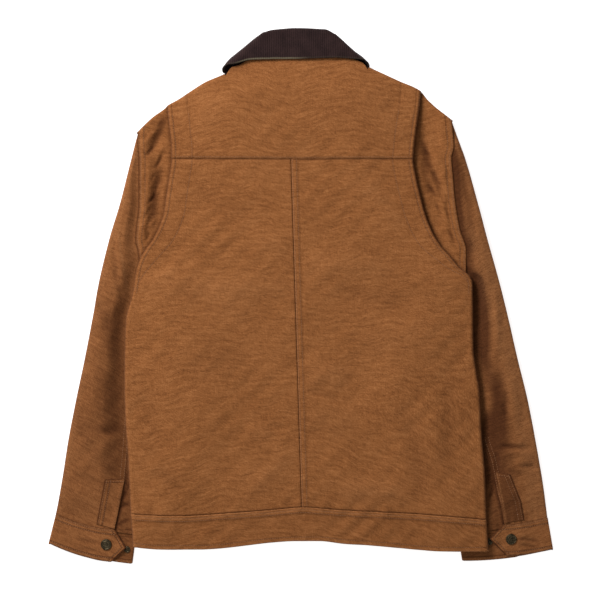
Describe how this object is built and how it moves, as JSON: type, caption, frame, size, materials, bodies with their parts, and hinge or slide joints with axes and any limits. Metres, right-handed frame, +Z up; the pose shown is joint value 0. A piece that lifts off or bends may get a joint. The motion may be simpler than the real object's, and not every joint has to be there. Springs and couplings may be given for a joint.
{
  "type": "ranch jacket",
  "caption": "Long-sleeved ranch jacket laid flat on its front, with a yoke, pleated back, hem band, turned-down collar and snap cuffs.",
  "frame": {"origin": "middle of the outline, on the surface that the jacket lies on", "axes": "+Y from the hem towards the collar, +X towards the wearer's right sleeve, +Z up, away from the surface; the back of the jacket faces +Z"},
  "size_m": [0.7183, 0.76, 0.0159],
  "materials": {
    "duck": "washed brown cotton duck, matt, with a slubby weave",
    "collar_cloth": "dark brown fine wale cloth, matt",
    "snap_metal": "antique brass, dark in the hollows"
  },
  "bodies": {
    "root": {"back_left": "duck", "back_right": "duck", "back_yoke": "duck", "band_back": "duck", "band_front_left": "duck", "band_front_right": "duck", "collar_fall": "collar_cloth", "collar_stand": "collar_cloth", "cuff_left": "duck", "cuff_right": "duck", "front_left": "duck", "front_right": "duck", "gusset_left": "duck", "gusset_right": "duck", "sleeve_placket_left": "duck", "sleeve_placket_right": "duck", "sleeve_under_left": "duck", "sleeve_under_right": "duck", "sleeve_upper_left": "duck", "sleeve_upper_right": "duck", "snap_cap_left": "snap_metal", "snap_cap_right": "snap_metal", "snap_stud_left": "snap_metal", "snap_stud_right": "snap_metal"}
  },
  "joints": []
}
